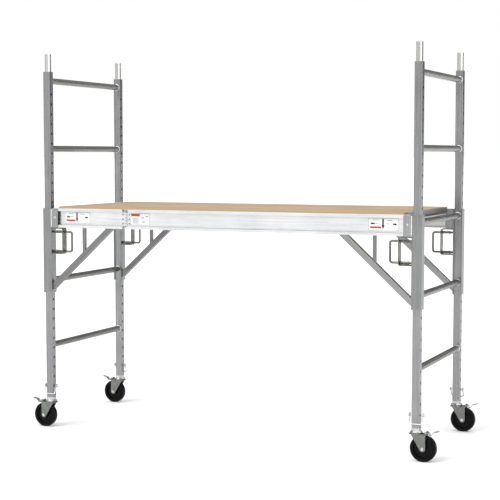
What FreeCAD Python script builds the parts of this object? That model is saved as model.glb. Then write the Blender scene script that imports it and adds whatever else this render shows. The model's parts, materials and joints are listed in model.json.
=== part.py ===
import FreeCAD, Part
import math
import os

# Folding aluminium baker scaffold on four casters. Millimetres, +Z up.
# X runs along the platform, Y across it; the origin is on the floor under the middle.

Vec = FreeCAD.Vector
X_AXIS = Vec(1, 0, 0)
Y_AXIS = Vec(0, 1, 0)
Z_AXIS = Vec(0, 0, 1)

# ---- driving dimensions -------------------------------------------------------------
POST_SPACING_X = 1989.3       # between post axes, along the platform
POST_SPACING_Y = 743.0        # between post axes, across one ladder frame
POST_SIDE = 38.1
POST_WALL = 3.0
POST_CORNER = 4.0
POST_BOTTOM = 159.5
POST_TOP = 1859.5
POST_GROOVE = 1.6             # width of the shallow grooves down each post face
GROOVE_DEPTH = 0.6
GROOVE_AT = 9.9               # from the middle of the face
OVERRUN = 1.0                 # how far a cutter runs past the face it opens

HOLE_PITCH = 50.8
HOLE_D = 12.0
LOCK_HOLE_Z = 218.7           # lowest hole, which takes the caster lock pin
HOLE_COUNT = 31

RUNG_D = 31.75
RUNG_WALL = 2.6
RUNG_RIBS = 18
RUNG_RIB_DEPTH = 0.55
RUNG_RIB_FLANK = 0.1          # share of a rib's pitch taken by half a flank
RUNG_Z = (433.8, 776.7, 1119.6, 1462.5, 1813.1)

COUPLING_D = 31.75
COUPLING_WALL = 2.6
COUPLING_TOP = 1951.5
COUPLING_SHANK_D = 31.4
COUPLING_INSERT = 70.0
COUPLING_HOLE_D = 8.0
COUPLING_HOLE_DROP = 20.0
COUPLING_CHAMFER = 2.0

SLEEVE_BOTTOM = 713.5
SLEEVE_TOP = 1154.5
SLEEVE_HALF = 25.0            # half width along X
SLEEVE_WALL = 4.8
SLEEVE_GAP = 1.15             # to the post, all round
SLEEVE_LIP = 3.2
SLEEVE_SLOT = 34.0            # mouth that lets the rungs through
SLEEVE_CORNER = 3.0

RAIL_BOTTOM = 1055.5
RAIL_TOP = 1155.0
RAIL_OUT = 394.0              # |Y| of the outer lips
RAIL_IN = 352.0               # |Y| of the inner flange edges
RAIL_SKIN = 3.0
RAIL_WEB = 380.0              # |Y| of the web's outer face
RAIL_TOP_LIP = 15.0
RAIL_BOTTOM_LIP = 13.0
RAIL_END = 962.0              # |X| where the rails end inside the corner brackets
RAIL_HINGE_X = 534.0          # |X| of the folding joint
RAIL_HINGE_GAP = 8.0
RAIL_COPE = 13.0              # lips cut back from the folding joint

BRACKET_X = 930.0
BRACKET_SKIN = 3.0
BRACKET_BOTTOM = 1053.5
BRACKET_TOP = 1153.5
BRACKET_CORNER = 7.0
BOLT_X = 948.5
BOLT_Z = 1107.5
BOLT_D = 8.0
BOLT_HEAD_D = 13.0
BOLT_HEAD = 3.0

HINGE_BARREL_D = 12.0
HINGE_PIN_D = 5.0
HINGE_LEAF = 24.0
HINGE_LEAF_SKIN = 2.5
HINGE_BOTTOM = 1071.5
HINGE_KNUCKLES = 5
HINGE_KNUCKLE = 11.0
HINGE_KNUCKLE_GAP = 3.2
HINGE_PIN_HEAD = 4.0
HINGE_PIN_HEAD_D = 9.6
FIT = 0.05                    # radial clearance of a running fit

BRACE_SIDE = 28.0
BRACE_WALL = 2.4
BRACE_BORE_OVERRUN = 5.0
BRACE_FOOT_Z = 745.5
BRACE_HEAD_X = 630.0
STRUT_X = 785.0
STRUT_WIDE = 14.0
STRUT_DEEP = 20.0

LATCH_TOP_Z = LOCK_HOLE_Z + 16 * HOLE_PITCH
LATCH_LOW_Z = LOCK_HOLE_Z + 14 * HOLE_PITCH
LATCH_ROD_D = 11.0
LATCH_BEND = 11.0
LATCH_BAR_X = 860.0           # |X| of the hand grip's centre line
LATCH_TIP_X = 973.4
LATCH_COLLAR_X = 948.0
LATCH_COLLAR_D = 17.0
LATCH_COLLAR = 4.0
STRAP_X = 906.0
STRAP_THICK = 5.0
STRAP_WIDE = 38.0
STRAP_TOP_Z = 1049.5
STRAP_LOW_Z = 918.5
STRAP_BEND = 9.0              # outer radius of its two corners
SPRING_WIRE = 2.0
SPRING_D = 16.0
SPRING_TURNS = 6
SPRING_END_GAP = 0.4          # to the strap and to the collar

DECK_TOP = 1164.0
DECK_HALF_X = 932.0
DECK_HALF_Y = 389.0
DECK_CORNER = 8.0
CHANNEL_BOTTOM = 1130.5
CHANNEL_HALF_Y = 347.5
CHANNEL_SKIN = 3.0
CHANNEL_FLANGE = 26.0
JOIST_X = (-465.0, 0.0, 465.0)
JOIST_WIDE = 40.0
JOIST_WALL = 2.5
SCREW_Y = (-300.0, 0.0, 300.0)
SCREW_D = 4.8
SCREW_HEAD_D = 9.0
SCREW_HEAD = 2.5
SCREW_LENGTH = 14.0
SCREW_EDGE = 14.0             # from the board's end to the outer rows

WHEEL_R = 63.5
WHEEL_WIDE = 32.0
TYRE_THICK = 13.0
HUB_R = 17.0
WEB_WIDE = 12.0
RIM_SKIN = 5.0
MOULD_DRAFT = 2.0             # slope of the moulded walls
TREAD_HALF = 10.0             # half width of the flat part of the tread
TYRE_SHOULDER = 5.0
TYRE_BEVEL = 1.5
TRAIL = 35.0
AXLE_D = 10.0
AXLE_HALF = 27.0
AXLE_HEAD_D = 16.0
AXLE_HEAD = 4.0
FORK_INNER = 19.0             # |Y| of the cheeks' inner faces
FORK_SKIN = 3.0
FORK_PLATE_Z = 129.0
FORK_PLATE = 3.5
FORK_FRONT = -31.0
FORK_BACK = 58.0
FORK_BOSS_R = 14.0
FORK_CORNER = 9.0
FORK_BOSS_TURN = 28.0         # degrees below level where the sloping edge meets the boss
RACE_D = 60.0
RACE_TOP = 138.5
RACE_GAP = 0.4
RACE_TAPER = 2.0              # how much narrower a race's small end is, on the radius
RACE_UPPER = 8.0              # height of the upper race
COLLAR_D = 46.0
KINGPIN_D = 12.0
KINGPIN_HEAD_D = 20.0
KINGPIN_HEAD = 3.6
STEM_D = 30.0
STEM_TOP = 253.5
LOCK_PIN_D = 9.5
LOCK_PIN_HALF = 38.0
LOCK_PIN_HEAD_D = 14.0
LOCK_PIN_HEAD = 3.0

PEDAL_PIVOT_OUT = 50.0
PEDAL_PIVOT_Z = 137.5
PEDAL_PIN_D = 4.0
PEDAL_BARREL_D = 8.0
PEDAL_WIDE = 26.0
PEDAL_SKIN = 3.0
PEDAL_PROFILE = ((0, 0), (12, -1), (15, -11), (23, -11), (34, 4), (58, 10))   # out and up of the pivot
PEDAL_PIN_END = 2.0
EAR_SKIN = 3.0
EAR_GAP = 0.5
EAR_ROOT = 14.0               # how far the ears reach back over the fork plate
EAR_R = 6.0

BAIL_WIRE_D = 5.0
BAIL_EYE_X = 31.5
BAIL_EYE_R = 5.15
BAIL_LENGTH = 46.0
BAIL_TILT = 29.0              # degrees from straight down, resting on the post
BAIL_BEND = 9.0

POST_X = POST_SPACING_X / 2
POST_Y = POST_SPACING_Y / 2
SLEEVE_FACE = POST_X - SLEEVE_HALF   # |X| of the sleeves' inner faces
SIDES = (("front", -1), ("rear", 1))
ENDS = (("left", -1), ("right", 1))


# ---- helpers ------------------------------------------------------------------------
def save(node, *solids):
    shape = solids[0] if len(solids) == 1 else Part.makeCompound(list(solids))
    shape.exportStep("parts/" + node + ".step")
    count = len(shape.Solids)
    print(node, count, "solid" if count == 1 else "solids", round(shape.Volume))


def box(x0, x1, y0, y1, z0, z1):
    """A box between two places on each axis, in either order."""
    low = Vec(min(x0, x1), min(y0, y1), min(z0, z1))
    return Part.makeBox(abs(x1 - x0), abs(y1 - y0), abs(z1 - z0), low)


def round_box(x0, x1, y0, y1, z0, z1, radius, along):
    """A box whose four edges along one axis are rounded."""
    body = box(x0, x1, y0, y1, z0, z1)
    edges = []
    for edge in body.Edges:
        tangent = edge.tangentAt(edge.FirstParameter)
        if abs(tangent.dot(along)) > 0.99:
            edges.append(edge)
    return body.makeFillet(radius, edges)


def rod(diameter, start, end):
    return Part.makeCylinder(diameter / 2, start.distanceToPoint(end), start, end - start)


def prism_y(outline, y0, y1):
    """A closed outline of (x, z) points, made solid between two Y places."""
    points = [Vec(x, y0, z) for x, z in outline]
    wire = Part.makePolygon(points + points[:1])
    return Part.Face(wire).extrude(Vec(0, y1 - y0, 0))


def prism_x(outline, x0, x1):
    """A closed outline of (y, z) points, made solid between two X places."""
    points = [Vec(x0, y, z) for y, z in outline]
    wire = Part.makePolygon(points + points[:1])
    return Part.Face(wire).extrude(Vec(x1 - x0, 0, 0))


def bent_rod(points, bend, diameter):
    """A round rod along straight runs joined by tangent arcs of one radius."""
    pieces = []
    start = points[0]
    for before, corner, after in zip(points, points[1:], points[2:]):
        way_in = (corner - before).normalize()
        way_out = (after - corner).normalize()
        turn = way_in.getAngle(way_out)
        setback = bend * math.tan(turn / 2)
        arc_start = corner - way_in * setback
        axis = way_in.cross(way_out).normalize()
        centre = arc_start + axis.cross(way_in) * bend
        section = Part.Face(Part.Wire(Part.makeCircle(diameter / 2, arc_start, way_in)))
        pieces.append(rod(diameter, start, arc_start))
        pieces.append(section.revolve(centre, axis, math.degrees(turn)))
        start = corner + way_out * setback
    pieces.append(rod(diameter, start, points[-1]))
    return pieces[0].fuse(pieces[1:]).removeSplitter()


def turned(shape, end, side):
    """Mirror a front right piece (X > 0, Y < 0) to the end and side asked for."""
    if end < 0:
        shape = shape.mirror(Vec(0, 0, 0), X_AXIS)
    if side > 0:
        shape = shape.mirror(Vec(0, 0, 0), Y_AXIS)
    return shape


def at_corners(shape):
    return [turned(shape, end, side) for _, end in ENDS for _, side in SIDES]


# ---- end frames ---------------------------------------------------------------------
def post():
    """Front right post: square tube, grooved faces, a row of latch holes along X."""
    half = POST_SIDE / 2
    bore = half - POST_WALL
    x, y = POST_X, -POST_Y
    body = round_box(x - half, x + half, y - half, y + half, POST_BOTTOM, POST_TOP, POST_CORNER, Z_AXIS)
    body = body.cut(box(x - bore, x + bore, y - bore, y + bore, POST_BOTTOM, POST_TOP))
    cuts = []
    for step in (-1, 1):
        offset = step * GROOVE_AT
        deep = half - GROOVE_DEPTH
        for way in (-1, 1):
            cuts.append(box(x + offset, x + offset + POST_GROOVE, y + way * deep, y + way * POST_SIDE,
                            POST_BOTTOM, POST_TOP))
            cuts.append(box(x + way * deep, x + way * POST_SIDE, y + offset, y + offset + POST_GROOVE,
                            POST_BOTTOM, POST_TOP))
    for index in range(HOLE_COUNT):
        z = LOCK_HOLE_Z + index * HOLE_PITCH
        cuts.append(rod(HOLE_D, Vec(x - POST_SIDE, y, z), Vec(x + POST_SIDE, y, z)))
    return body.cut(cuts)


def rung(x, z):
    """A ribbed round tube between the two posts of a ladder frame."""
    end_y = POST_Y - POST_SIDE / 2
    outer = RUNG_D / 2
    inner = outer - RUNG_RIB_DEPTH
    edges = []
    step = 2 * math.pi / RUNG_RIBS
    flank = step * RUNG_RIB_FLANK

    def place(radius, angle):
        return Vec(x + radius * math.cos(angle), -end_y, z + radius * math.sin(angle))

    for index in range(RUNG_RIBS):
        rib = index * step
        stops = (rib + flank, rib + step / 2 - flank, rib + step / 2 + flank, rib + step - flank)
        edges.append(Part.Arc(place(outer, stops[0]), place(outer, (stops[0] + stops[1]) / 2),
                              place(outer, stops[1])).toShape())
        edges.append(Part.makeLine(place(outer, stops[1]), place(inner, stops[2])))
        edges.append(Part.Arc(place(inner, stops[2]), place(inner, (stops[2] + stops[3]) / 2),
                              place(inner, stops[3])).toShape())
        edges.append(Part.makeLine(place(inner, stops[3]), place(outer, stops[0] + step)))
    body = Part.Face(Part.Wire(edges)).extrude(Vec(0, 2 * end_y, 0))
    return body.cut(rod(RUNG_D - 2 * RUNG_WALL, Vec(x, -end_y, z), Vec(x, end_y, z)))


def coupling_pin():
    """Stacking pin: a tube plugged into the post's top, with a cross hole."""
    x, y = POST_X, -POST_Y
    foot = Vec(x, y, POST_TOP)
    head = Vec(x, y, COUPLING_TOP)
    bottom = Vec(x, y, POST_TOP - COUPLING_INSERT)
    shoulder = head - Z_AXIS * COUPLING_CHAMFER
    pin = rod(COUPLING_D, foot, shoulder)
    tip = Part.makeCone(COUPLING_D / 2, COUPLING_D / 2 - COUPLING_CHAMFER, COUPLING_CHAMFER, shoulder)
    pin = pin.fuse([rod(COUPLING_SHANK_D, bottom, foot), tip]).removeSplitter()
    cross_z = COUPLING_TOP - COUPLING_HOLE_DROP
    cross = rod(COUPLING_HOLE_D, Vec(x - COUPLING_D, y, cross_z), Vec(x + COUPLING_D, y, cross_z))
    return pin.cut([rod(COUPLING_D - 2 * COUPLING_WALL, bottom, head), cross])


# ---- platform -----------------------------------------------------------------------
def sleeve():
    """C-shaped slider round a post, open towards the rungs, drilled for its latch."""
    out_y = -(POST_Y + POST_SIDE / 2 + SLEEVE_GAP + SLEEVE_WALL)
    lip_y = -(POST_Y - POST_SIDE / 2 - SLEEVE_GAP)
    x = POST_X
    body = round_box(x - SLEEVE_HALF, x + SLEEVE_HALF, out_y, lip_y + SLEEVE_LIP,
                     SLEEVE_BOTTOM, SLEEVE_TOP, SLEEVE_CORNER, Z_AXIS)
    inside = SLEEVE_HALF - SLEEVE_WALL
    cuts = [box(x - inside, x + inside, out_y + SLEEVE_WALL, lip_y, SLEEVE_BOTTOM, SLEEVE_TOP)]
    cuts.append(box(x - SLEEVE_SLOT / 2, x + SLEEVE_SLOT / 2, lip_y - OVERRUN, lip_y + 2 * SLEEVE_LIP,
                    SLEEVE_BOTTOM, SLEEVE_TOP))
    for z in (LATCH_TOP_Z, LATCH_LOW_Z):
        cuts.append(rod(HOLE_D, Vec(SLEEVE_FACE - OVERRUN, -POST_Y, z), Vec(x, -POST_Y, z)))
    return body.cut(cuts)


def rail(x0, x1, hinge_at_start, hinge_at_end):
    """Front side rail: a channel open to the outside, its lips cut back at the hinge."""
    web_in = -(RAIL_WEB - RAIL_SKIN)
    outline = (
        (-RAIL_IN, RAIL_TOP), (-RAIL_OUT, RAIL_TOP), (-RAIL_OUT, RAIL_TOP - RAIL_TOP_LIP),
        (-RAIL_OUT + RAIL_SKIN, RAIL_TOP - RAIL_TOP_LIP), (-RAIL_OUT + RAIL_SKIN, RAIL_TOP - RAIL_SKIN),
        (-RAIL_WEB, RAIL_TOP - RAIL_SKIN), (-RAIL_WEB, RAIL_BOTTOM + RAIL_SKIN),
        (-RAIL_OUT + RAIL_SKIN, RAIL_BOTTOM + RAIL_SKIN), (-RAIL_OUT + RAIL_SKIN, RAIL_BOTTOM + RAIL_BOTTOM_LIP),
        (-RAIL_OUT, RAIL_BOTTOM + RAIL_BOTTOM_LIP), (-RAIL_OUT, RAIL_BOTTOM),
        (-RAIL_IN, RAIL_BOTTOM), (-RAIL_IN, RAIL_BOTTOM + RAIL_SKIN),
        (web_in, RAIL_BOTTOM + RAIL_SKIN), (web_in, RAIL_TOP - RAIL_SKIN),
        (-RAIL_IN, RAIL_TOP - RAIL_SKIN),
    )
    body = prism_x(outline, x0, x1)
    cuts = []
    for wanted, place, way in ((hinge_at_start, x0, 1), (hinge_at_end, x1, -1)):
        if wanted:
            cuts.append(box(place, place + way * RAIL_COPE, -RAIL_OUT, -RAIL_WEB, RAIL_BOTTOM, RAIL_TOP))
    for x in (-BOLT_X, BOLT_X):
        cuts.append(rod(BOLT_D + 2 * FIT, Vec(x, -RAIL_OUT, BOLT_Z), Vec(x, -RAIL_IN, BOLT_Z)))
    return body.cut(cuts)


def hinge():
    """Folding joint of the front rail: two leaves with knuckles in turn, and a pin."""
    x = -RAIL_HINGE_X
    barrel_y = -(RAIL_WEB + HINGE_BARREL_D / 2)
    pitch = HINGE_KNUCKLE + HINGE_KNUCKLE_GAP
    top = HINGE_BOTTOM + HINGE_KNUCKLES * pitch - HINGE_KNUCKLE_GAP
    bore = rod(HINGE_PIN_D + 2 * FIT, Vec(x, barrel_y, HINGE_BOTTOM - OVERRUN),
               Vec(x, barrel_y, top + OVERRUN))
    leaves = []
    for way, first in ((-1, 0), (1, 1)):
        near = RAIL_HINGE_GAP / 2
        leaf = box(x + way * near, x + way * (near + HINGE_LEAF), -RAIL_WEB, -RAIL_WEB - HINGE_LEAF_SKIN,
                   HINGE_BOTTOM, top)
        knuckles = []
        for index in range(first, HINGE_KNUCKLES, 2):
            z = HINGE_BOTTOM + index * pitch
            foot = Vec(x, barrel_y, z)
            knuckles.append(rod(HINGE_BARREL_D, foot, foot + Z_AXIS * HINGE_KNUCKLE))
            knuckles.append(box(x, x + way * (near + OVERRUN), -RAIL_WEB, -RAIL_WEB - HINGE_LEAF_SKIN,
                                z, z + HINGE_KNUCKLE))
        leaves.append(leaf.fuse(knuckles).removeSplitter().cut(bore))
    pin = rod(HINGE_PIN_D, Vec(x, barrel_y, HINGE_BOTTOM - FIT), Vec(x, barrel_y, top + FIT))
    for z in (HINGE_BOTTOM - FIT - HINGE_PIN_HEAD, top + FIT):
        pin = pin.fuse(rod(HINGE_PIN_HEAD_D, Vec(x, barrel_y, z), Vec(x, barrel_y, z + HINGE_PIN_HEAD)))
    return leaves, pin.removeSplitter()


def bracket():
    """Front right corner bracket: a channel welded to the sleeve round the rail's end."""
    outer = -(RAIL_OUT + BRACKET_SKIN)
    inner = -(RAIL_IN - BRACKET_SKIN)
    body = box(BRACKET_X, SLEEVE_FACE, outer, inner, BRACKET_BOTTOM, BRACKET_TOP)
    pocket = box(BRACKET_X - OVERRUN, SLEEVE_FACE - BRACKET_SKIN, -RAIL_OUT, -RAIL_IN,
                 BRACKET_BOTTOM - OVERRUN, BRACKET_TOP + OVERRUN)
    body = body.cut(pocket)
    corners = []
    for edge in body.Edges:
        middle = edge.valueAt((edge.FirstParameter + edge.LastParameter) / 2)
        along_y = abs(edge.tangentAt(edge.FirstParameter).dot(Y_AXIS)) > 0.99
        if along_y and abs(middle.x - BRACKET_X) < 0.01:
            corners.append(edge)
    body = body.makeFillet(BRACKET_CORNER, corners)
    return body.cut(rod(BOLT_D + 2 * FIT, Vec(BOLT_X, outer - OVERRUN, BOLT_Z),
                        Vec(BOLT_X, inner + OVERRUN, BOLT_Z)))


def bracket_bolt():
    outer = -(RAIL_OUT + BRACKET_SKIN)
    inner = -(RAIL_IN - BRACKET_SKIN)
    shank = rod(BOLT_D, Vec(BOLT_X, outer - BOLT_HEAD, BOLT_Z), Vec(BOLT_X, inner + BOLT_HEAD, BOLT_Z))
    dome = Part.makeCone(BOLT_HEAD_D / 2, BOLT_HEAD_D / 4, BOLT_HEAD, Vec(BOLT_X, outer, BOLT_Z), -Y_AXIS)
    tail = Part.makeCone(BOLT_HEAD_D / 2, BOLT_HEAD_D / 4, BOLT_HEAD, Vec(BOLT_X, inner, BOLT_Z), Y_AXIS)
    return shank.fuse([dome, tail]).removeSplitter()


def brace():
    """Front right brace: square tube from the sleeve up to the rail's underside."""
    run = SLEEVE_FACE - BRACE_HEAD_X
    rise = RAIL_BOTTOM - BRACE_FOOT_Z
    length = math.hypot(run, rise)

    def strip(half, extra):
        """The brace's side view, cut square to the sleeve and level under the rail."""
        high = half * length / run
        wide = half * length / rise
        return ((SLEEVE_FACE + extra, BRACE_FOOT_Z - high - extra * rise / run),
                (SLEEVE_FACE + extra, BRACE_FOOT_Z + high - extra * rise / run),
                (BRACE_HEAD_X + wide - extra * run / rise, RAIL_BOTTOM + extra),
                (BRACE_HEAD_X - wide - extra * run / rise, RAIL_BOTTOM + extra))

    half = BRACE_SIDE / 2
    bore = half - BRACE_WALL
    outer = prism_y(strip(half, 0), -POST_Y - half, -POST_Y + half)
    inner = prism_y(strip(bore, BRACE_BORE_OVERRUN), -POST_Y - bore, -POST_Y + bore)
    return outer.cut(inner)


def strut():
    """Short upright between the brace's upper face and the rail's underside."""
    slope = (RAIL_BOTTOM - BRACE_FOOT_Z) / (SLEEVE_FACE - BRACE_HEAD_X)
    high = BRACE_SIDE / 2 * math.hypot(1, slope)

    def brace_top(x):
        return BRACE_FOOT_Z + (SLEEVE_FACE - x) * slope + high

    x0 = STRUT_X - STRUT_WIDE / 2
    x1 = STRUT_X + STRUT_WIDE / 2
    outline = ((x0, brace_top(x0)), (x1, brace_top(x1)), (x1, RAIL_BOTTOM), (x0, RAIL_BOTTOM))
    return prism_y(outline, -POST_Y - STRUT_DEEP / 2, -POST_Y + STRUT_DEEP / 2)


# ---- spring latches -----------------------------------------------------------------
def latch_strap():
    """C-shaped guide welded to the sleeve, with two holes for the latch's rods."""
    half = STRAP_THICK / 2
    y0 = -POST_Y - STRAP_WIDE / 2
    y1 = -POST_Y + STRAP_WIDE / 2
    past = SLEEVE_FACE + 2 * STRAP_BEND
    outer = round_box(STRAP_X - half, past, y0, y1, STRAP_LOW_Z - half, STRAP_TOP_Z + half,
                      STRAP_BEND, Y_AXIS)
    inner = round_box(STRAP_X + half, past + STRAP_BEND, y0, y1, STRAP_LOW_Z + half, STRAP_TOP_Z - half,
                      STRAP_BEND - STRAP_THICK, Y_AXIS)
    cuts = [inner, box(SLEEVE_FACE, past + STRAP_BEND, y0, y1, STRAP_LOW_Z - STRAP_THICK,
                       STRAP_TOP_Z + STRAP_THICK)]
    for z in (LATCH_TOP_Z, LATCH_LOW_Z):
        cuts.append(rod(HOLE_D, Vec(STRAP_X - STRAP_THICK, -POST_Y, z), Vec(STRAP_X + STRAP_THICK, -POST_Y, z)))
    return outer.cut(cuts)


def latch_handle():
    """U-shaped rod whose two legs are the latch pins, with a collar on each leg."""
    y = -POST_Y
    path = [Vec(LATCH_TIP_X, y, LATCH_TOP_Z), Vec(LATCH_BAR_X, y, LATCH_TOP_Z),
            Vec(LATCH_BAR_X, y, LATCH_LOW_Z), Vec(LATCH_TIP_X, y, LATCH_LOW_Z)]
    body = bent_rod(path, LATCH_BEND, LATCH_ROD_D)
    for z in (LATCH_TOP_Z, LATCH_LOW_Z):
        foot = Vec(LATCH_COLLAR_X, y, z)
        body = body.fuse(rod(LATCH_COLLAR_D, foot, foot + X_AXIS * LATCH_COLLAR))
    return body.removeSplitter()


def latch_spring(z):
    """Compressed coil spring on one leg, between the strap and the collar."""
    end_room = SPRING_WIRE / 2 + SPRING_END_GAP
    start = STRAP_X + STRAP_THICK / 2 + end_room
    length = LATCH_COLLAR_X - start - end_room
    radius = (SPRING_D - SPRING_WIRE) / 2
    helix = Part.makeHelix(length / SPRING_TURNS, length, radius)
    section = Part.Wire(Part.makeCircle(SPRING_WIRE / 2, Vec(radius, 0, 0), Y_AXIS))
    coil = Part.Wire(helix.Edges).makePipeShell([section], True, True)
    coil.rotate(Vec(0, 0, 0), Y_AXIS, 90)
    coil.translate(Vec(start, -POST_Y, z))
    return coil


# ---- deck ---------------------------------------------------------------------------
def screw_places():
    rows = JOIST_X + (SCREW_EDGE - DECK_HALF_X, DECK_HALF_X - SCREW_EDGE)
    return [(x, y) for x in rows for y in SCREW_Y]


def deck_screw(x, y, spare):
    """Countersunk screw, or with spare clearance the hole that takes it."""
    radius = SCREW_D / 2 + spare
    head = Part.makeCone(radius, SCREW_HEAD_D / 2 + spare, SCREW_HEAD, Vec(x, y, DECK_TOP - SCREW_HEAD))
    shank = Part.makeCylinder(radius, SCREW_LENGTH - SCREW_HEAD, Vec(x, y, DECK_TOP - SCREW_LENGTH))
    return shank.fuse(head).removeSplitter()


def deck_board(holes):
    board = round_box(-DECK_HALF_X, DECK_HALF_X, -DECK_HALF_Y, DECK_HALF_Y, RAIL_TOP, DECK_TOP,
                      DECK_CORNER, Z_AXIS)
    return board.cut(holes)


def deck_end_channel(end, holes):
    """Channel that caps the board's end and hangs between the rails."""
    x0 = end * (DECK_HALF_X - CHANNEL_FLANGE)
    x1 = end * (DECK_HALF_X + CHANNEL_SKIN)
    body = box(x0, x1, -CHANNEL_HALF_Y, CHANNEL_HALF_Y, CHANNEL_BOTTOM, DECK_TOP)
    seat = box(x0, end * DECK_HALF_X, -CHANNEL_HALF_Y, CHANNEL_HALF_Y, RAIL_TOP, DECK_TOP)
    hollow = box(x0, end * DECK_HALF_X, -CHANNEL_HALF_Y, CHANNEL_HALF_Y,
                 CHANNEL_BOTTOM + CHANNEL_SKIN, RAIL_TOP - CHANNEL_SKIN)
    return body.cut([seat, hollow] + holes)


def deck_joist(x, holes):
    half = JOIST_WIDE / 2
    bore = half - JOIST_WALL
    body = box(x - half, x + half, -CHANNEL_HALF_Y, CHANNEL_HALF_Y, CHANNEL_BOTTOM, RAIL_TOP)
    hollow = box(x - bore, x + bore, -CHANNEL_HALF_Y, CHANNEL_HALF_Y,
                 CHANNEL_BOTTOM + JOIST_WALL, RAIL_TOP - JOIST_WALL)
    return body.cut([hollow] + holes)


# ---- casters ------------------------------------------------------------------------
def caster_stem():
    """Stem plugged into the post, collar, upper ball race and riveted king pin."""
    x, y = POST_X, -POST_Y
    foot = Vec(x, y, POST_BOTTOM)
    race_bottom = RACE_TOP + RACE_GAP
    race = Part.makeCone(RACE_D / 2, COLLAR_D / 2, RACE_UPPER, Vec(x, y, race_bottom))
    collar = rod(COLLAR_D, Vec(x, y, race_bottom + RACE_UPPER), foot)
    stem = rod(STEM_D, foot, Vec(x, y, STEM_TOP))
    head_top = FORK_PLATE_Z - RACE_GAP
    kingpin = rod(KINGPIN_D, Vec(x, y, head_top), Vec(x, y, race_bottom))
    head = rod(KINGPIN_HEAD_D, Vec(x, y, head_top - KINGPIN_HEAD), Vec(x, y, head_top))
    body = race.fuse([collar, stem, kingpin, head]).removeSplitter()
    reach = Vec(STEM_D, 0, 0)
    centre = Vec(x, y, LOCK_HOLE_Z)
    return body.cut(rod(HOLE_D, centre - reach, centre + reach))


def caster_lock_pin():
    """Pin through post and stem, along X, with a head outside each bail eye."""
    centre = Vec(POST_X, -POST_Y, LOCK_HOLE_Z)
    reach = Vec(LOCK_PIN_HALF, 0, 0)
    tip = Vec(LOCK_PIN_HEAD, 0, 0)
    pin = rod(LOCK_PIN_D, centre - reach, centre + reach)
    heads = [rod(LOCK_PIN_HEAD_D, centre + reach - tip, centre + reach),
             rod(LOCK_PIN_HEAD_D, centre - reach, centre - reach + tip)]
    return pin.fuse(heads).removeSplitter()


def fork():
    """Pressed fork: top plate, lower race, two V-shaped cheeks, ears for the pedal."""
    x, y = POST_X, -POST_Y
    plate_top = FORK_PLATE_Z + FORK_PLATE
    cheek_out = FORK_INNER + FORK_SKIN
    body = round_box(x + FORK_FRONT, x + FORK_BACK, y - cheek_out, y + cheek_out,
                     FORK_PLATE_Z, plate_top, FORK_CORNER, Z_AXIS)
    race_foot_r = RACE_D / 2 - RACE_TAPER
    race = Part.makeCone(race_foot_r, RACE_D / 2, RACE_TOP - plate_top, Vec(x, y, plate_top))
    disc = Part.makeCylinder(race_foot_r, FORK_PLATE, Vec(x, y, FORK_PLATE_Z))
    wheel_x = x + TRAIL
    slant = math.radians(FORK_BOSS_TURN)
    fork_front_foot = (wheel_x - FORK_BOSS_R * math.cos(slant), WHEEL_R - FORK_BOSS_R * math.sin(slant))
    pieces = [race, disc]
    for way in (-1, 1):
        y0 = y + way * FORK_INNER
        y1 = y + way * cheek_out
        outline = ((x + FORK_FRONT + FORK_CORNER, plate_top), fork_front_foot,
                   (wheel_x + FORK_BOSS_R, WHEEL_R), (x + FORK_BACK - FORK_CORNER, plate_top))
        pieces.append(prism_y(outline, y0, y1))
        pieces.append(rod(2 * FORK_BOSS_R, Vec(wheel_x, y0, WHEEL_R), Vec(wheel_x, y1, WHEEL_R)))
        ear_in = y + way * (PEDAL_WIDE / 2 + EAR_GAP)
        ear_out = ear_in + way * EAR_SKIN
        pivot_x = x + PEDAL_PIVOT_OUT
        pieces.append(box(x + FORK_BACK - EAR_ROOT, pivot_x, ear_in, ear_out, FORK_PLATE_Z, PEDAL_PIVOT_Z))
        pieces.append(rod(2 * EAR_R, Vec(pivot_x, ear_in, PEDAL_PIVOT_Z), Vec(pivot_x, ear_out, PEDAL_PIVOT_Z)))
    body = body.fuse(pieces).removeSplitter()
    reach = cheek_out + OVERRUN
    cuts = [
        rod(AXLE_D + 2 * FIT, Vec(wheel_x, y - reach, WHEEL_R), Vec(wheel_x, y + reach, WHEEL_R)),
        rod(KINGPIN_D + 2 * FIT, Vec(x, y, FORK_PLATE_Z - OVERRUN), Vec(x, y, RACE_TOP + OVERRUN)),
        rod(PEDAL_PIN_D + 2 * FIT, Vec(x + PEDAL_PIVOT_OUT, y - reach, PEDAL_PIVOT_Z),
            Vec(x + PEDAL_PIVOT_OUT, y + reach, PEDAL_PIVOT_Z)),
    ]
    return body.cut(cuts)


def axle():
    """Wheel bolt with a head and a nut outside the cheeks."""
    x, y = POST_X + TRAIL, -POST_Y
    face = FORK_INNER + FORK_SKIN
    shank = rod(AXLE_D, Vec(x, y - AXLE_HALF, WHEEL_R), Vec(x, y + AXLE_HALF, WHEEL_R))
    heads = []
    for way in (-1, 1):
        start = Vec(x, y + way * face, WHEEL_R)
        corners = []
        for index in range(7):
            angle = math.radians(60 * index)
            corners.append(start + Vec(math.cos(angle), 0, math.sin(angle)) * (AXLE_HEAD_D / 2))
        heads.append(Part.Face(Part.makePolygon(corners)).extrude(Vec(0, way * AXLE_HEAD, 0)))
    return shank.fuse(heads).removeSplitter()


def revolved_y(outline, x, y, z):
    """A closed outline of (radius, y) points turned about a line along Y."""
    points = [Vec(x + radius, y + offset, z) for radius, offset in outline]
    face = Part.Face(Part.makePolygon(points + points[:1]))
    return face.revolve(Vec(x, y, z), Y_AXIS, 360)


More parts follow.
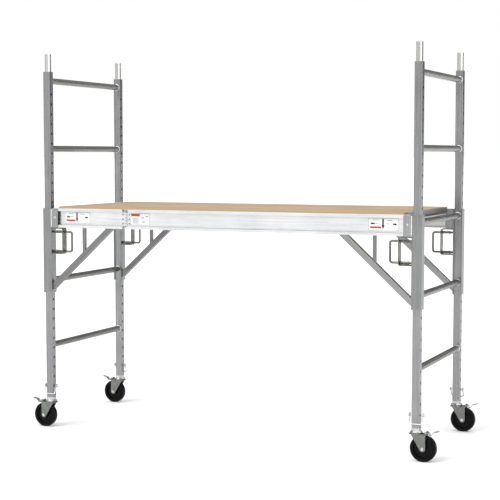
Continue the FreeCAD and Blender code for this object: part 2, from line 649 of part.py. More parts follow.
def wheel_hub():
    """Moulded wheel centre: rim, recessed web, hub and round bore."""
    rim = WHEEL_R - TYRE_THICK
    half = WHEEL_WIDE / 2
    web = WEB_WIDE / 2
    bore = AXLE_D / 2 + FIT
    lip = rim - RIM_SKIN
    edge = half - MOULD_DRAFT
    near_side = [(bore, half), (HUB_R, half), (HUB_R + MOULD_DRAFT, web), (lip - MOULD_DRAFT, web),
                 (lip, edge), (rim, edge)]
    far_side = [(radius, -y) for radius, y in reversed(near_side)]
    return revolved_y(near_side + far_side, POST_X + TRAIL, -POST_Y, WHEEL_R)


def tyre():
    rim = WHEEL_R - TYRE_THICK
    half = WHEEL_WIDE / 2
    near_side = [(rim, half - MOULD_DRAFT), (rim + MOULD_DRAFT, half), (WHEEL_R - TYRE_SHOULDER, half),
                 (WHEEL_R - TYRE_BEVEL, TREAD_HALF + MOULD_DRAFT), (WHEEL_R, TREAD_HALF)]
    far_side = [(radius, -y) for radius, y in reversed(near_side)]
    return revolved_y(near_side + far_side, POST_X + TRAIL, -POST_Y, WHEEL_R)


def brake_pedal():
    """Foot lever on the fork's tail: barrel, shoe above the tyre and turned-up tread."""
    x, y = POST_X, -POST_Y
    half = PEDAL_WIDE / 2
    pivot_x = x + PEDAL_PIVOT_OUT
    plates = []
    for (out_0, up_0), (out_1, up_1) in zip(PEDAL_PROFILE, PEDAL_PROFILE[1:]):
        length = math.hypot(out_1 - out_0, up_1 - up_0)
        across = Vec(-(up_1 - up_0), 0, out_1 - out_0) * (PEDAL_SKIN / 2 / length)
        start = Vec(pivot_x + out_0, 0, PEDAL_PIVOT_Z + up_0)
        end = Vec(pivot_x + out_1, 0, PEDAL_PIVOT_Z + up_1)
        corners = (start + across, end + across, end - across, start - across)
        plates.append(prism_y([(corner.x, corner.z) for corner in corners], y - half, y + half))
        plates.append(rod(PEDAL_SKIN, Vec(end.x, y - half, end.z), Vec(end.x, y + half, end.z)))
    barrel = rod(PEDAL_BARREL_D, Vec(pivot_x, y - half, PEDAL_PIVOT_Z), Vec(pivot_x, y + half, PEDAL_PIVOT_Z))
    pin_half = half + EAR_SKIN + PEDAL_PIN_END
    pin = rod(PEDAL_PIN_D, Vec(pivot_x, y - pin_half, PEDAL_PIVOT_Z), Vec(pivot_x, y + pin_half, PEDAL_PIVOT_Z))
    return barrel.fuse(plates + [pin]).removeSplitter()


def bail():
    """Wire loop on the lock pin that rests against the front of the post."""
    tilt = math.radians(BAIL_TILT)
    down = Vec(0, -math.sin(tilt), -math.cos(tilt))
    centre = Vec(POST_X, -POST_Y, LOCK_HOLE_Z)
    ring = BAIL_EYE_R + BAIL_WIRE_D / 2
    left = centre - X_AXIS * BAIL_EYE_X
    right = centre + X_AXIS * BAIL_EYE_X
    path = [left + down * ring, left + down * BAIL_LENGTH, right + down * BAIL_LENGTH, right + down * ring]
    body = bent_rod(path, BAIL_BEND, BAIL_WIRE_D)
    eyes = [Part.makeTorus(ring, BAIL_WIRE_D / 2, place, X_AXIS) for place in (left, right)]
    return body.fuse(eyes).removeSplitter()


# ---- write the nodes ----------------------------------------------------------------
def save_end_frames():
    one_post = post()
    for end_name, end in ENDS:
        for side_name, side in SIDES:
            save(side_name + "_" + end_name + "_post", turned(one_post, end, side))
        save(end_name + "_rungs", *[rung(end * POST_X, z) for z in RUNG_Z])
    save("coupling_pins", *at_corners(coupling_pin()))
    save("caster_stems", *at_corners(caster_stem()))
    save("caster_lock_pins", *at_corners(caster_lock_pin()))


def save_platform():
    one_sleeve = sleeve()
    for end_name, end in ENDS:
        for side_name, side in SIDES:
            save(side_name + "_" + end_name + "_sleeve", turned(one_sleeve, end, side))
    gap = RAIL_HINGE_GAP / 2
    stub = rail(-RAIL_END, -RAIL_HINGE_X - gap, False, True)
    long_rail = rail(-RAIL_HINGE_X + gap, RAIL_END, True, False)
    leaves, pin = hinge()
    save("front_rail_stub", stub)
    save("front_rail", long_rail)
    save("rear_rail_stub", turned(stub, -1, 1))
    save("rear_rail", turned(long_rail, -1, 1))
    save("rail_hinges", *(leaves + [turned(leaf, -1, 1) for leaf in leaves]))
    save("hinge_pins", pin, turned(pin, -1, 1))
    save("rail_brackets", *at_corners(bracket()))
    save("bracket_bolts", *at_corners(bracket_bolt()))
    for side_name, side in SIDES:
        save(side_name + "_braces", *[turned(brace(), end, side) for _, end in ENDS])
    save("brace_struts", *at_corners(strut()))


def save_latches():
    handle = latch_handle()
    for end_name, end in ENDS:
        for side_name, side in SIDES:
            save(side_name + "_" + end_name + "_latch", turned(handle, end, side))
    save("latch_straps", *at_corners(latch_strap()))
    save("latch_springs", *(at_corners(latch_spring(LATCH_TOP_Z)) + at_corners(latch_spring(LATCH_LOW_Z))))


def save_deck():
    holes = [deck_screw(x, y, FIT) for x, y in screw_places()]
    save("deck_board", deck_board(holes))
    save("deck_end_channels", *[deck_end_channel(end, holes) for _, end in ENDS])
    save("deck_joists", *[deck_joist(x, holes) for x in JOIST_X])
    save("deck_screws", *[deck_screw(x, y, 0) for x, y in screw_places()])


def save_casters():
    pieces = (("fork", fork()), ("axle", axle()), ("wheel", wheel_hub()), ("tyre", tyre()),
              ("brake_pedal", brake_pedal()), ("pin_bail", bail()))
    for end_name, end in ENDS:
        for side_name, side in SIDES:
            for name, shape in pieces:
                save(side_name + "_" + end_name + "_" + name, turned(shape, end, side))


def main():
    os.makedirs("parts", exist_ok=True)
    save_end_frames()
    save_platform()
    save_latches()
    save_deck()
    save_casters()


main()
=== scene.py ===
import json
import math
import random

import bmesh
import bpy
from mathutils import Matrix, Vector


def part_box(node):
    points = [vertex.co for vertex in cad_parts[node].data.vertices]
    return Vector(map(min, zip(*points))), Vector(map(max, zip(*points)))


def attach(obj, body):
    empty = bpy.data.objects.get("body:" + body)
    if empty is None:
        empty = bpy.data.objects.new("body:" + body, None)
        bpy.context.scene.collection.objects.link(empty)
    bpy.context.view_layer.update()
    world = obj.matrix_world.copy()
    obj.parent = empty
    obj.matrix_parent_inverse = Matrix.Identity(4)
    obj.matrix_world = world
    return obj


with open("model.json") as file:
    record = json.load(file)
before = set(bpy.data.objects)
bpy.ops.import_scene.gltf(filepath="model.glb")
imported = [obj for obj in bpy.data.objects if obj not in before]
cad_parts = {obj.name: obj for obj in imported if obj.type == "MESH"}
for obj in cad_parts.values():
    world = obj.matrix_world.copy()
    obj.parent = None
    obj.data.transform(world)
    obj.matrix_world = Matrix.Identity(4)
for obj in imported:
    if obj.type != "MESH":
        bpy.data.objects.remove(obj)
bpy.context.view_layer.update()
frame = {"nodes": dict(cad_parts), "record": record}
random.seed(11)

MM = 0.001
NODES = frame["nodes"]
SIDES = (("front", -1), ("rear", 1))
ENDS = (("left", -1), ("right", 1))

# ---- places read from the frame -----------------------------------------------------
POST_LOW, POST_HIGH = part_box("front_right_post")
POST_X = (POST_LOW.x + POST_HIGH.x) / 2
POST_Y = -(POST_LOW.y + POST_HIGH.y) / 2
POST_IN = -POST_HIGH.y                       # |Y| of the posts' inner faces
SLEEVE_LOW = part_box("front_right_sleeve")[0]
BRACKET_LOW, BRACKET_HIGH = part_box("rail_brackets")
RAIL_LOW, RAIL_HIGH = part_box("front_rail")
HINGE_LOW, HINGE_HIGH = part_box("rail_hinges")
STRAP_LOW, STRAP_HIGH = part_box("latch_straps")
BRACE_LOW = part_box("front_braces")[0]
RUNGS_LOW, RUNGS_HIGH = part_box("right_rungs")
RUNG_R = (RUNGS_HIGH.x - RUNGS_LOW.x) / 2
RUNG_PITCH = 0.3429
RUNG_Z = [RUNGS_LOW.z + RUNG_R + RUNG_PITCH * index for index in range(4)] + [RUNGS_HIGH.z - RUNG_R]
POST_BORE_HALF = 17.9 * MM                   # just inside a post's grooved outer faces
RAIL_HINGE_X = 0.534
RAIL_WEB_Y = 0.380
SEAM_X = SLEEVE_LOW.x                        # the sleeves' inner faces, where most parts are welded on


# ---- small node helpers -------------------------------------------------------------
def new_material(name):
    """An empty node material; returns the material, its tree and its shader."""
    material = bpy.data.materials.new(name)
    material.use_nodes = True
    tree = material.node_tree
    return material, tree, tree.nodes["Principled BSDF"]


def add(tree, kind, **inputs):
    """Add a node and set its inputs by name."""
    node = tree.nodes.new(kind)
    for name, value in inputs.items():
        node.inputs[name.replace("_", " ")].default_value = value
    return node


def mapped(tree, scale, turn=(0.0, 0.0, 0.0)):
    """Object coordinates, turned and then stretched."""
    coords = tree.nodes.new("ShaderNodeTexCoord")
    turning = add(tree, "ShaderNodeMapping", Rotation=turn)
    stretching = add(tree, "ShaderNodeMapping", Scale=scale)
    tree.links.new(coords.outputs["Object"], turning.inputs["Vector"])
    tree.links.new(turning.outputs["Vector"], stretching.inputs["Vector"])
    return stretching.outputs["Vector"]


def noise(tree, vector, scale, detail=4.0, roughness=0.55):
    node = add(tree, "ShaderNodeTexNoise", Scale=scale, Detail=detail, Roughness=roughness)
    tree.links.new(vector, node.inputs["Vector"])
    return node.outputs["Fac"]


def ramp(tree, factor, stops):
    """Colour ramp from (place, colour) stops."""
    node = tree.nodes.new("ShaderNodeValToRGB")
    elements = node.color_ramp.elements
    while len(elements) < len(stops):
        elements.new(0.5)
    for element, (place, colour) in zip(elements, stops):
        element.position = place
        element.color = (*colour, 1.0)
    tree.links.new(factor, node.inputs["Fac"])
    return node.outputs["Color"]


def spread(tree, factor, low, high):
    """Map a 0.3 to 0.7 noise onto a range of numbers."""
    node = add(tree, "ShaderNodeMapRange", From_Min=0.3, From_Max=0.7, To_Min=low, To_Max=high)
    tree.links.new(factor, node.inputs["Value"])
    return node.outputs["Result"]


def blended(tree, factor, one, two, kind="MIX"):
    """Mix of two colour outputs."""
    node = tree.nodes.new("ShaderNodeMix")
    node.data_type = "RGBA"
    node.blend_type = kind
    if isinstance(factor, float):
        node.inputs["Factor"].default_value = factor
    else:
        tree.links.new(factor, node.inputs["Factor"])
    tree.links.new(one, node.inputs[6])
    tree.links.new(two, node.inputs[7])
    return node.outputs[2]


def bumped(tree, shader, height, strength, distance):
    node = add(tree, "ShaderNodeBump", Strength=strength, Distance=distance)
    tree.links.new(height, node.inputs["Height"])
    tree.links.new(node.outputs["Normal"], shader.inputs["Normal"])


def shade(colour, amount):
    return tuple(min(1.0, channel * amount) for channel in colour)


# ---- materials ----------------------------------------------------------------------
def drawn_metal(name, colour, along, turn=(0.0, 0.0, 0.0), rough=(0.3, 0.48), contrast=0.16):
    """Extruded mill-finish metal: die lines along one axis over soft cloudy tones."""
    material, tree, shader = new_material(name)
    fine = [900.0, 900.0, 900.0]
    fine[along] = 9.0
    lines = noise(tree, mapped(tree, fine, turn), 1.0, 5.0, 0.6)
    wide = [150.0, 150.0, 150.0]
    wide[along] = 2.5
    bands = noise(tree, mapped(tree, wide, turn), 1.0, 3.0, 0.5)
    clouds = noise(tree, mapped(tree, (1, 1, 1)), 7.0, 5.0, 0.6)
    bright = shade(colour, 1 + contrast / 2)
    stain = ramp(tree, clouds, ((0.30, shade(colour, 1 - contrast)), (0.68, bright)))
    streak = ramp(tree, bands, ((0.32, shade(colour, 1 - contrast * 0.9)), (0.66, bright)))
    tone = blended(tree, 0.5, stain, streak)
    hair = ramp(tree, lines, ((0.30, (0.84, 0.84, 0.84)), (0.62, (1.0, 1.0, 1.0))))
    tree.links.new(blended(tree, 1.0, tone, hair, "MULTIPLY"), shader.inputs["Base Color"])
    tree.links.new(spread(tree, bands, *rough), shader.inputs["Roughness"])
    shader.inputs["Metallic"].default_value = 1.0
    bumped(tree, shader, lines, 0.22, 0.0002)
    return material


def plated_metal(name, colour, rough=(0.22, 0.42), spangle=260.0, metallic=1.0, grime=0.35):
    """Zinc-plated or pressed steel: small spangles, faint pits and darker grime."""
    material, tree, shader = new_material(name)
    place = mapped(tree, (1, 1, 1))
    cells = add(tree, "ShaderNodeTexVoronoi", Scale=spangle)
    tree.links.new(place, cells.inputs["Vector"])
    mottled = noise(tree, place, 60.0, 6.0, 0.65)
    pits = noise(tree, place, 900.0, 3.0, 0.6)
    tone = ramp(tree, cells.outputs["Color"], ((0.0, shade(colour, 0.82)), (1.0, shade(colour, 1.12))))
    dirt = ramp(tree, mottled, ((0.30, (1 - grime, 1 - grime, 1 - grime * 0.92)), (0.60, (1.0, 1.0, 1.0))))
    tree.links.new(blended(tree, 1.0, tone, dirt, "MULTIPLY"), shader.inputs["Base Color"])
    tree.links.new(spread(tree, mottled, rough[1], rough[0]), shader.inputs["Roughness"])
    shader.inputs["Metallic"].default_value = metallic
    bumped(tree, shader, pits, 0.25, 0.0002)
    return material


def moulded_black(name, colour, rough, grain=700.0):
    """Black moulded wheel material with a fine grain and a dusty bloom."""
    material, tree, shader = new_material(name)
    place = mapped(tree, (1, 1, 1))
    dust = noise(tree, place, 28.0, 6.0, 0.65)
    pores = noise(tree, place, grain, 3.0, 0.6)
    tone = ramp(tree, dust, ((0.40, colour), (0.75, shade(colour, 2.2))))
    tree.links.new(tone, shader.inputs["Base Color"])
    tree.links.new(spread(tree, dust, *rough), shader.inputs["Roughness"])
    shader.inputs["Specular IOR Level"].default_value = 0.1
    bumped(tree, shader, pores, 0.3, 0.0003)
    return material


def plywood(name):
    """Sanded plywood: long grain on the faces, stacked plies on the edges."""
    material, tree, shader = new_material(name)
    pale = (0.57, 0.45, 0.32)
    tan = (0.44, 0.33, 0.215)
    brown = (0.30, 0.18, 0.08)
    board = noise(tree, mapped(tree, (0.9, 9.0, 9.0)), 1.0, 4.0, 0.55)
    grain = noise(tree, mapped(tree, (3.0, 90.0, 90.0)), 1.0, 6.0, 0.6)
    figure = add(tree, "ShaderNodeTexWave", Scale=1.0, Distortion=7.0, Detail=3.0, Detail_Scale=1.2)
    figure.bands_direction = "Y"
    tree.links.new(mapped(tree, (0.55, 9.0, 9.0)), figure.inputs["Vector"])
    base = ramp(tree, board, ((0.32, tan), (0.66, pale)))
    rings = ramp(tree, figure.outputs["Fac"], ((0.0, (0.72, 0.66, 0.58)), (0.6, (1.0, 1.0, 1.0))))
    pores = ramp(tree, grain, ((0.36, (0.66, 0.58, 0.49)), (0.60, (1.0, 1.0, 1.0))))
    face = blended(tree, 1.0, blended(tree, 0.75, base, rings, "MULTIPLY"), pores, "MULTIPLY")
    plies = add(tree, "ShaderNodeTexWave", Scale=1.0, Distortion=0.6, Detail=2.0, Detail_Scale=40.0)
    plies.bands_direction = "Z"
    tree.links.new(mapped(tree, (4.0, 4.0, 95.0)), plies.inputs["Vector"])
    edge = ramp(tree, plies.outputs["Fac"], ((0.25, brown), (0.55, (0.58, 0.38, 0.16)), (0.85, tan)))
    normal = tree.nodes.new("ShaderNodeTexCoord")
    split = tree.nodes.new("ShaderNodeSeparateXYZ")
    tree.links.new(normal.outputs["Normal"], split.inputs["Vector"])
    flat = tree.nodes.new("ShaderNodeMath")
    flat.operation = "ABSOLUTE"
    tree.links.new(split.outputs["Z"], flat.inputs[0])
    tree.links.new(blended(tree, flat.outputs[0], edge, face), shader.inputs["Base Color"])
    tree.links.new(spread(tree, grain, 0.52, 0.72), shader.inputs["Roughness"])
    bumped(tree, shader, grain, 0.35, 0.0004)
    return material


def printed_film(name, colour, rough=0.35):
    """Vinyl label film, faintly scuffed."""
    material, tree, shader = new_material(name)
    place = mapped(tree, (1, 1, 1))
    scuff = noise(tree, place, 120.0, 6.0, 0.7)
    tone = ramp(tree, scuff, ((0.30, shade(colour, 0.86)), (0.62, colour)))
    tree.links.new(tone, shader.inputs["Base Color"])
    tree.links.new(spread(tree, scuff, rough, rough + 0.2), shader.inputs["Roughness"])
    bumped(tree, shader, scuff, 0.1, 0.0001)
    return material


def paper_floor(name):
    """Pale seamless studio paper."""
    material, tree, shader = new_material(name)
    fibre = noise(tree, mapped(tree, (1, 1, 1)), 3.0, 5.0, 0.6)
    tone = ramp(tree, fibre, ((0.3, (0.935, 0.94, 0.945)), (0.7, (0.96, 0.965, 0.97))))
    tree.links.new(tone, shader.inputs["Base Color"])
    shader.inputs["Roughness"].default_value = 0.9
    shader.inputs["Specular IOR Level"].default_value = 0.1
    return material


BRACE_TILT = math.atan2(0.310, 0.340)
FINISH = {
    "post": drawn_metal("post_finish", (0.325, 0.325, 0.33), 2, rough=(0.22, 0.38), contrast=0.22),
    # Post insides: a duller finish, painted near-black as painted shade in the bore and latch holes.
    "bore_painted_shade": plated_metal("bore_painted_shade_finish", (0.03, 0.03, 0.028), rough=(0.6, 0.75), metallic=0.2),
    "rung": drawn_metal("rung_finish", (0.245, 0.245, 0.23), 1, rough=(0.2, 0.34)),
    "sleeve": drawn_metal("sleeve_finish", (0.285, 0.288, 0.288), 2, rough=(0.24, 0.4), contrast=0.2),
    "rail": drawn_metal("rail_finish", (0.77, 0.775, 0.78), 0, rough=(0.28, 0.44), contrast=0.16),
    "bracket": drawn_metal("bracket_finish", (0.35, 0.353, 0.353), 2),
    # The braces are one aluminium: the left ones painted darker as painted shade, the right ones lighter as
    # painted light.
    "brace_left_painted_shade": drawn_metal("brace_left_painted_shade_finish", (0.235, 0.235, 0.235), 0, turn=(0.0, BRACE_TILT, 0.0)),
    "brace_right_painted_light": drawn_metal("brace_right_painted_light_finish", (0.345, 0.345, 0.345), 0, turn=(0.0, -BRACE_TILT, 0.0)),
    "coupling": drawn_metal("coupling_finish", (0.80, 0.80, 0.77), 2, rough=(0.12, 0.22)),
    "deck_metal": drawn_metal("deck_metal_finish", (0.33, 0.335, 0.325), 1),
    "handle": plated_metal("handle_finish", (0.20, 0.20, 0.175), rough=(0.28, 0.42), grime=0.3),
    "spring": plated_metal("spring_finish", (0.42, 0.42, 0.41), rough=(0.3, 0.42)),
    "zinc": plated_metal("zinc_finish", (0.62, 0.63, 0.64), rough=(0.12, 0.28), grime=0.4),
    "fork": plated_metal("fork_finish", (0.225, 0.232, 0.215), rough=(0.28, 0.42)),
    # Weld beads are near-white: partly brighter bead metal, partly painted highlight.
    "weld": plated_metal("weld_painted_highlight_finish", (0.88, 0.88, 0.89), rough=(0.16, 0.3), spangle=900.0, grime=0.2),
    "wood": plywood("deck_wood_finish"),
    "wheel": moulded_black("wheel_finish", (0.002, 0.002, 0.0022), (0.2, 0.3)),
    "tyre": moulded_black("tyre_finish", (0.0015, 0.0015, 0.0018), (0.2, 0.32)),
    "film": printed_film("label_film", (0.82, 0.82, 0.80)),
    "red": printed_film("label_red", (0.55, 0.03, 0.005)),
    "ink": printed_film("label_ink", (0.01, 0.01, 0.014)),
    "pale_ink": printed_film("label_pale_ink", (0.27, 0.28, 0.30)),
}
FINISH_OF_SLOT = {
    "post_aluminium": "post", "rung_aluminium": "rung", "sleeve_aluminium": "sleeve",
    "rail_aluminium": "rail", "bracket_aluminium": "bracket", "brace_aluminium": "brace_left_painted_shade",
    "coupling_aluminium": "coupling",
    "handle_steel": "handle", "spring_steel": "spring", "zinc_steel": "zinc", "fork_steel": "fork",
    "deck_wood": "wood", "deck_aluminium": "deck_metal", "wheel_black": "wheel", "tyre_black": "tyre",
}
FINISH_OF_NODE = {"rail_hinges": "rail", "hinge_pins": "handle"}


def inside_post(centre):
    """True on the walls of a post's bore and of its latch holes, the faces that get painted shade."""
    from_axis_x = abs(abs(centre.x) - POST_X)
    from_axis_y = abs(abs(centre.y) - POST_Y)
    return max(from_axis_x, from_axis_y) < POST_BORE_HALF


def add_second_finish(node, finish, belongs):
    """Give the faces of one CAD node that pass a test another finish."""
    node.data.materials.append(FINISH[finish])
    last = len(node.data.materials) - 1
    for face in node.data.polygons:
        if belongs(face.center):
            face.material_index = last


def finish_cad_nodes():
    """Give every CAD node its finish, paint shade into the posts' insides, and paint the braces as lit and
    shaded copies.
    """
    slots = {entry["node"]: entry["material_slot"] for entry in frame["record"]["subparts"]}
    for name, node in NODES.items():
        finish = FINISH_OF_NODE.get(name, FINISH_OF_SLOT[slots[name]])
        for index in range(len(node.material_slots)):
            node.material_slots[index].material = FINISH[finish]
    for side, _ in SIDES:
        # faces of the right-hand braces take the lighter copy, painted light
        add_second_finish(NODES[side + "_braces"], "brace_right_painted_light", lambda centre: centre.x > 0)
        for end, _ in ENDS:
            # faces inside the bore and latch holes take the near-black painted shade
            add_second_finish(NODES[side + "_" + end + "_post"], "bore_painted_shade", inside_post)


# ---- mesh helpers -------------------------------------------------------------------
def piece(name, body, finish, build, smooth=True):
    """Make a mesh piece with a bmesh builder and let it ride on a body."""
    mesh = bpy.data.meshes.new(name)
    shape = bmesh.new()
    build(shape)
    bmesh.ops.recalc_face_normals(shape, faces=shape.faces)
    shape.to_mesh(mesh)
    shape.free()
    thing = bpy.data.objects.new(name, mesh)
    bpy.context.scene.collection.objects.link(thing)
    mesh.materials.append(FINISH[finish])
    for face in mesh.polygons:
        face.use_smooth = smooth
    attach(thing, body)
    return thing


def skin_rings(shape, rings, closed_along):
    """Join rings of points into a tube; the ends are capped unless it closes on itself."""
    loops = [[shape.verts.new(point) for point in ring] for ring in rings]
    count = len(loops)
    last = count if closed_along else count - 1
    for index in range(last):
        one, two = loops[index], loops[(index + 1) % count]
        for k in range(len(one)):
            n = (k + 1) % len(one)
            shape.faces.new((one[k], one[n], two[n], two[k]))
    if not closed_along:
        shape.faces.new(loops[0])
        shape.faces.new(list(reversed(loops[-1])))


def bead_ring(shape, centre, radius, size):
    """A rippled weld bead round a rung's end, on a post's inner face."""
    turns = 96
    around = 8
    ripple_phase = random.uniform(0, math.tau)
    rings = []
    for index in range(turns):
        angle = math.tau * index / turns
        ripple = 1 + 0.13 * math.sin(24 * angle + ripple_phase) + random.uniform(-0.03, 0.03)
        ring = []
        for step in range(around):
            turn = math.tau * step / around
            out = radius + size * ripple * math.cos(turn)
            along = size * 0.8 * ripple * math.sin(turn)
            ring.append(centre + Vector((out * math.cos(angle), along, out * math.sin(angle))))
        rings.append(ring)
    skin_rings(shape, rings, True)


def bead_line(shape, start, end, size, pitch=3.2 * MM):
    """A rippled weld bead along a straight seam."""
    way = end - start
    length = way.length
    way.normalize()
    side = way.cross(Vector((0.3, 0.9, 0.2))).normalized()
    other = way.cross(side)
    steps = max(8, int(length / pitch * 6))
    rings = []
    for index in range(steps + 1):
        place = index / steps
        fade = min(1.0, math.sin(math.pi * min(max(place, 0.004), 0.996)) * 6) ** 0.5
        wave = 0.22 * abs(math.sin(math.pi * place * length / pitch))
        ripple = fade * (1 + wave + random.uniform(-0.04, 0.04))
        centre = start + way * (length * place)
        rings.append([centre + (side * math.cos(a) + other * math.sin(a)) * size * ripple
                      for a in (math.tau * k / 8 for k in range(8))])
    skin_rings(shape, rings, False)


def dome(shape, centre, out, radius, height):
    """A flat-based domed head, such as a rivet's."""
    side = out.cross(Vector((0.1, 0.2, 0.97))).normalized()
    other = out.cross(side)
    rings = []
    for radius_part, height_part in ((1.0, 0.0), (1.0, 0.25), (0.92, 0.55), (0.7, 0.85), (0.38, 0.98)):
        rings.append([centre + (side * math.cos(a) + other * math.sin(a)) * radius * radius_part
                      + out * height * height_part for a in (math.tau * k / 20 for k in range(20))])
    skin_rings(shape, rings, False)


def flat_plate(shape, outline, y_face, thickness):
    """A thin plate on a face that looks towards the front: outline of (x, z) points."""
    front = [shape.verts.new((x, y_face - thickness, z)) for x, z in outline]
    back = [shape.verts.new((x, y_face, z)) for x, z in outline]
    shape.faces.new(front)
    shape.faces.new(list(reversed(back)))
    for k in range(len(outline)):
        n = (k + 1) % len(outline)
        shape.faces.new((front[k], back[k], back[n], front[n]))


def rounded_outline(x0, x1, z0, z1, radius):
    """Corner-rounded rectangle as (x, z) points."""
    points = []
    corners = ((x1 - radius, z1 - radius, 0), (x0 + radius, z1 - radius, 90),
               (x0 + radius, z0 + radius, 180), (x1 - radius, z0 + radius, 270))
    for cx, cz, begin in corners:
        for step in range(5):
            angle = math.radians(begin + 22.5 * step)
            points.append((cx + radius * math.cos(angle), cz + radius * math.sin(angle)))
    return points


# ---- welds and fasteners ------------------------------------------------------------
RUNG_BEAD = 2.4 * MM
BRACKET_BEAD = 2.4 * MM
BRACKET_PITCH = 8 * MM
RIVET_R = 4 * MM
RIVET_HEAD = 2 * MM
RIVET_OUT = RAIL_WEB_Y + 2.5 * MM            # |Y| of the hinge leaves' outer faces
RIVET_FROM_PIN = 19 * MM
RIVET_HEIGHTS = (0.16, 0.5, 0.84)            # parts of the hinge's height
CROSS_SEAMS = (                              # |X|, Z, half length and bead size of the seams along Y
    (SEAM_X, STRAP_LOW.z, 13 * MM, 1.8 * MM),
    (SEAM_X, STRAP_HIGH.z, 13 * MM, 1.8 * MM),
    (SEAM_X, BRACE_LOW.z + 1 * MM, 12 * MM, 2.0 * MM),
    (SEAM_X, BRACE_LOW.z + 38 * MM, 12 * MM, 2.0 * MM),
    (0.609, RAIL_LOW.z, 12 * MM, 2.0 * MM),
    (0.651, RAIL_LOW.z, 12 * MM, 2.0 * MM),
    (0.778, RAIL_LOW.z, 9 * MM, 1.6 * MM),
    (0.792, RAIL_LOW.z, 9 * MM, 1.6 * MM),
)


def add_rung_welds():
    for end_name, end in ENDS:
        def build(shape, end=end):
            for z in RUNG_Z:
                for _, side in SIDES:
                    centre = Vector((end * POST_X, side * POST_IN, z))
                    bead_ring(shape, centre, RUNG_R + 0.2 * MM, RUNG_BEAD)
        # the rung beads carry the near-white weld colour, partly painted highlight
        piece(end_name + "_rung_welds", "end_frames", "weld", build)


def add_platform_welds():
    """Beads on the brackets, brace feet, struts and latch straps."""
    def build(shape):
        out_y = -BRACKET_LOW.y - 1.2 * MM
        for _, end in ENDS:
            for _, side in SIDES:
                bottom = Vector((end * SEAM_X, side * out_y, BRACKET_LOW.z + 4 * MM))
                top = Vector((end * SEAM_X, side * out_y, BRACKET_HIGH.z - 2 * MM))
                bead_line(shape, bottom, top, BRACKET_BEAD, BRACKET_PITCH)
                for x, z, half, size in CROSS_SEAMS:
                    inner = Vector((end * x, side * (POST_Y - half), z))
                    outer = Vector((end * x, side * (POST_Y + half), z))
                    bead_line(shape, inner, outer, size)
    # the platform beads carry the near-white weld colour, partly painted highlight
    piece("platform_welds", "platform", "weld", build)


def add_hinge_rivets():
    def build(shape):
        height = HINGE_HIGH.z - HINGE_LOW.z
        for _, side in SIDES:
            for offset in (-RIVET_FROM_PIN, RIVET_FROM_PIN):
                for part in RIVET_HEIGHTS:
                    z = HINGE_LOW.z + height * part
                    foot = Vector((side * RAIL_HINGE_X + offset, side * RIVET_OUT, z))
                    dome(shape, foot, Vector((0, side, 0)), RIVET_R, RIVET_HEAD)
    piece("hinge_rivets", "platform", "handle", build)


# ---- labels -------------------------------------------------------------------------
FILM_THICK = 0.5 * MM
BORDER_THICK = 0.3 * MM
LINES_THICK = 0.7 * MM
INK_THICK = 0.8 * MM
ARROWS = (                                   # tip in parts of the label, way, length and width
    (0.05, 0.58, -1, 0, 22 * MM, 13 * MM),
    (0.95, 0.54, 1, 0, 20 * MM, 13 * MM),
    (0.48, 0.08, 0, -1, 50 * MM, 15 * MM),
)


def arrow(tip_x, tip_z, way_x, way_z, length, width):
    """Solid arrow outline that points along (way_x, way_z)."""
    head = length * 0.42
    stem = width * 0.26
    plan = (
        (0, 0), (-head, width / 2), (-head, stem), (-length, stem),
        (-length, -stem), (-head, -stem), (-head, -width / 2),
    )
    return [(tip_x + a * way_x - b * way_z, tip_z + a * way_z + b * way_x) for a, b in plan]


def add_label(name, x0, x1, arrows):
    """White film with a plain colour bar and generic arrows or line work, no lettering."""
    z0 = RAIL_LOW.z + 23 * MM
    z1 = RAIL_HIGH.z - 20 * MM
    face = -RAIL_WEB_Y
    wide, high = x1 - x0, z1 - z0

    def block(left, low, right, top):
        corners = ((left, low), (right, low), (right, top), (left, top))
        return [(x0 + wide * a, z0 + high * b) for a, b in corners]

    def build_film(shape):
        flat_plate(shape, rounded_outline(x0, x1, z0, z1, 3 * MM), face, FILM_THICK)
    piece(name + "_film", "platform", "film", build_film, smooth=False)

    def build_frame(shape):
        line = 1.6 * MM
        outer = rounded_outline(x0 - line, x1 + line, z0 - line, z1 + line, 3.5 * MM)
        flat_plate(shape, outer, face, BORDER_THICK)
    piece(name + "_border", "platform", "pale_ink", build_frame, smooth=False)

    def build_red(shape):
        bar = block(0.04, 0.18, 0.42, 0.34) if arrows else block(0.06, 0.74, 0.50, 0.96)
        flat_plate(shape, bar, face, INK_THICK)
    piece(name + "_bar", "platform", "red", build_red, smooth=False)

    def build_ink(shape):
        if arrows:
            for a, b, way_x, way_z, length, width in ARROWS:
                outline = arrow(x0 + wide * a, z0 + high * b, way_x, way_z, length, width)
                flat_plate(shape, outline, face, INK_THICK)
        else:
            for left, low in ((0.58, 0.58), (0.80, 0.70), (0.62, 0.22)):
                flat_plate(shape, block(left, low, left + 0.14, low + 0.07), face, INK_THICK)
    piece(name + "_ink", "platform", "ink", build_ink, smooth=False)

    def build_pale(shape):
        if arrows:
            bars = ((0.14, 0.84, 0.34, 0.89), (0.62, 0.82, 0.80, 0.87), (0.22, 0.57, 0.34, 0.62),
                    (0.58, 0.54, 0.70, 0.59))
        else:
            bars = [(0.12, 0.12 + 0.085 * row, 0.44, 0.16 + 0.085 * row) for row in range(6)]
            bars.append((0.60, 0.40, 0.92, 0.44))
        for bar in bars:
            flat_plate(shape, block(*bar), face, LINES_THICK)
    piece(name + "_lines", "platform", "pale_ink", build_pale, smooth=False)


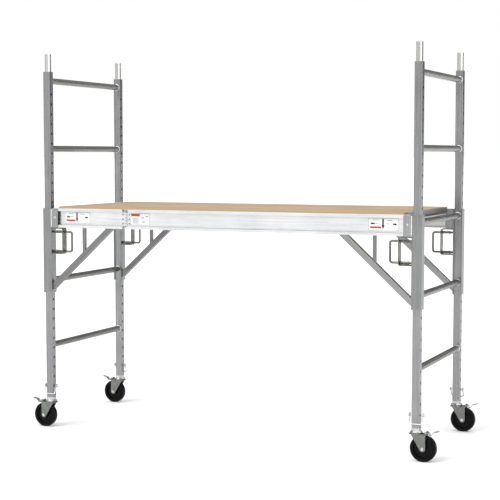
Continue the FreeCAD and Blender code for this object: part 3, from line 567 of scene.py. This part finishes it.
# ---- stage --------------------------------------------------------------------------
CAMERA_PLACE = (2.7015, -6.276, 1.4363)
CAMERA_HEADING = 23.40
CAMERA_DIP = 4.17
CAMERA_LENS = 94.97
FLOOR_REACH = 400.0
BACK_WALL = (0.35, 0.94, 0.0)
BRIGHT_PANEL = (0.93, -0.36, 0.1)
OVERHEAD = (0.0, 0.0, 1.0)
ROOM_LEVELS = (-0.7, 0.7, 0.68, 0.16)        # facing from and to, then brightness from and to
OVERHEAD_LEVELS = (0.1, 0.5, 0.0, 0.3)
PANEL_LEVELS = (0.80, 0.95, 0.0, 1.4)


def add_camera():
    data = bpy.data.cameras.new("camera")
    data.lens = CAMERA_LENS
    data.sensor_width = 36.0
    data.clip_end = 2 * FLOOR_REACH
    camera = bpy.data.objects.new("camera", data)
    camera.location = CAMERA_PLACE
    camera.rotation_euler = (math.radians(90 - CAMERA_DIP), 0.0, math.radians(CAMERA_HEADING))
    bpy.context.scene.collection.objects.link(camera)
    bpy.context.scene.camera = camera


def add_floor():
    mesh = bpy.data.meshes.new("studio_floor")
    shape = bmesh.new()
    bmesh.ops.create_grid(shape, x_segments=2, y_segments=2, size=FLOOR_REACH)
    shape.to_mesh(mesh)
    shape.free()
    floor = bpy.data.objects.new("studio_floor", mesh)
    bpy.context.scene.collection.objects.link(floor)
    mesh.materials.append(paper_floor("studio_paper"))


def add_soft_sun(name, place, strength, spread_angle):
    """A distant soft light that shines from a place towards the origin."""
    data = bpy.data.lights.new(name, "SUN")
    data.energy = strength
    data.angle = math.radians(spread_angle)
    light = bpy.data.objects.new(name, data)
    light.location = place
    light.rotation_euler = (-Vector(place)).to_track_quat("-Z", "Y").to_euler()
    bpy.context.scene.collection.objects.link(light)


def add_world():
    """White studio: a soft room, dim behind and brighter overhead, with a panel at the front right.

    The camera sees plain white, so only light and reflections change with direction.
    """
    world = bpy.data.worlds.new("studio")
    bpy.context.scene.world = world
    world.use_nodes = True
    tree = world.node_tree
    back = tree.nodes["Background"]
    coords = tree.nodes.new("ShaderNodeTexCoord")
    room = tree.nodes.new("ShaderNodeMath")
    room.operation = "ADD"
    sky = tree.nodes.new("ShaderNodeMath")
    sky.operation = "ADD"
    parts = (
        (sky.inputs[0], BACK_WALL, ROOM_LEVELS),
        (sky.inputs[1], OVERHEAD, OVERHEAD_LEVELS),
        (room.inputs[1], BRIGHT_PANEL, PANEL_LEVELS),
    )
    tree.links.new(sky.outputs["Value"], room.inputs[0])
    for socket, way, bounds in parts:
        facing = tree.nodes.new("ShaderNodeVectorMath")
        facing.operation = "DOT_PRODUCT"
        facing.inputs[1].default_value = way
        tree.links.new(coords.outputs["Generated"], facing.inputs[0])
        low, high, dim, bright = bounds
        part = add(tree, "ShaderNodeMapRange", From_Min=low, From_Max=high, To_Min=dim, To_Max=bright)
        tree.links.new(facing.outputs["Value"], part.inputs["Value"])
        tree.links.new(part.outputs["Result"], socket)
    seen = tree.nodes.new("ShaderNodeLightPath")
    level = tree.nodes.new("ShaderNodeMix")
    tree.links.new(seen.outputs["Is Camera Ray"], level.inputs["Factor"])
    tree.links.new(room.outputs["Value"], level.inputs[2])
    level.inputs[3].default_value = 1.0
    tree.links.new(level.outputs[0], back.inputs["Strength"])
    back.inputs["Color"].default_value = (1.0, 1.0, 1.0, 1.0)


def add_stage():
    add_floor()
    add_world()
    add_soft_sun("key", (-3.0, -5.0, 5.0), 1.5, 40.0)
    add_soft_sun("top", (0.5, 1.0, 6.0), 1.3, 90.0)
    bpy.context.scene.view_settings.view_transform = "Standard"


add_camera()
finish_cad_nodes()
add_rung_welds()
add_platform_welds()
add_hinge_rivets()
add_label("left_label", -0.893, -0.749, True)
add_label("middle_label", -0.512, -0.402, False)
add_label("right_label", 0.758, 0.903, True)
add_stage()
